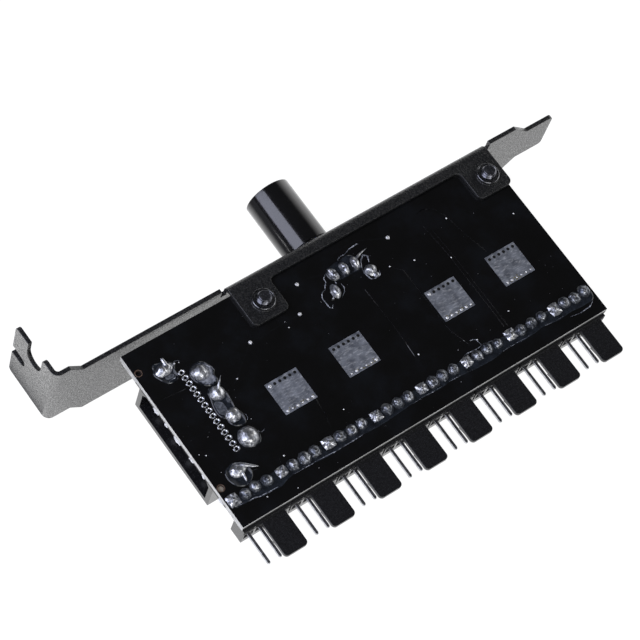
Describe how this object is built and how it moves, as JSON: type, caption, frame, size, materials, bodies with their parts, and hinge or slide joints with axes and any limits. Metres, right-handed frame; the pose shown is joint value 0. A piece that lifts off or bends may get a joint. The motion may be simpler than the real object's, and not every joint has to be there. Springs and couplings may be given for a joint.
{
  "type": "fan controller hub",
  "caption": "Computer card on a slot bracket: a black board with a row of right-angle fan headers, a power socket and a turning speed knob.",
  "frame": {"origin": "centre of the screw notch, on the face of the tab that seats on the case", "axes": "+X from the tab to the tongue, +Y out of the case towards the knob, +Z the soldered side of the board"},
  "size_m": [0.12, 0.0648, 0.0214],
  "materials": {
    "black_powder_coat": "fine textured powder coat",
    "black_zinc": "black zinc plate",
    "solder_mask": "gloss solder mask",
    "tinned_copper": "satin tin",
    "solder": "bright solder",
    "black_nylon": "satin moulded",
    "tinned_brass": "satin tin plate",
    "tinned_steel": "satin tin plate",
    "zinc_casting": "die cast",
    "phenolic": "pressed sheet",
    "carbon_film": "printed film",
    "white_plastic": "satin moulded",
    "black_anodised": "turned and anodised",
    "moulded_epoxy": "matt moulded",
    "chip_black": "matt",
    "chip_tan": "fired ceramic"
  },
  "bodies": {
    "hub": {"bracket": "black_powder_coat", "board_screws": "black_zinc", "circuit_board": "solder_mask", "thermal_pads": "tinned_copper", "plated_holes": "tinned_copper", "tinned_vias": "tinned_copper", "fan_header_1": "black_nylon", "fan_header_2": "black_nylon", "fan_header_3": "black_nylon", "fan_header_4": "black_nylon", "fan_header_5": "black_nylon", "fan_header_6": "black_nylon", "fan_header_7": "black_nylon", "fan_header_8": "black_nylon", "fan_header_pins_1": "tinned_brass", "fan_header_pins_2": "tinned_brass", "fan_header_pins_3": "tinned_brass", "fan_header_pins_4": "tinned_brass", "fan_header_pins_5": "tinned_brass", "fan_header_pins_6": "tinned_brass", "fan_header_pins_7": "tinned_brass", "fan_header_pins_8": "tinned_brass", "fan_header_joints": "solder", "power_connector_shroud": "black_nylon", "power_connector_pins": "tinned_brass", "power_connector_locks": "tinned_steel", "power_joints": "solder", "control_bushing": "zinc_casting", "control_wafer": "phenolic", "control_track": "carbon_film", "control_terminals": "tinned_brass", "control_cup": "black_nylon", "control_frame": "tinned_steel", "control_joints": "solder", "power_transistor_1": "moulded_epoxy", "power_transistor_2": "moulded_epoxy", "power_transistor_3": "moulded_epoxy", "power_transistor_4": "moulded_epoxy", "transistor_leads_1": "tinned_brass", "transistor_leads_2": "tinned_brass", "transistor_leads_3": "tinned_brass", "transistor_leads_4": "tinned_brass", "control_chip": "moulded_epoxy", "control_chip_leads": "tinned_brass", "chip_resistors": "chip_black", "chip_capacitors": "chip_tan"},
    "knob": {"control_shaft": "zinc_casting", "control_rotor": "white_plastic", "control_wiper": "tinned_brass", "knob_shell": "black_anodised", "knob_sleeve": "white_plastic"}
  },
  "joints": [
    {"name": "knob_turn", "type": "hinge", "parent": "hub", "child": "knob", "pos_m": [0.06, -0.0056, -0.0076], "axis": [0, 1, 0], "range_deg": [-140, 140]}
  ]
}
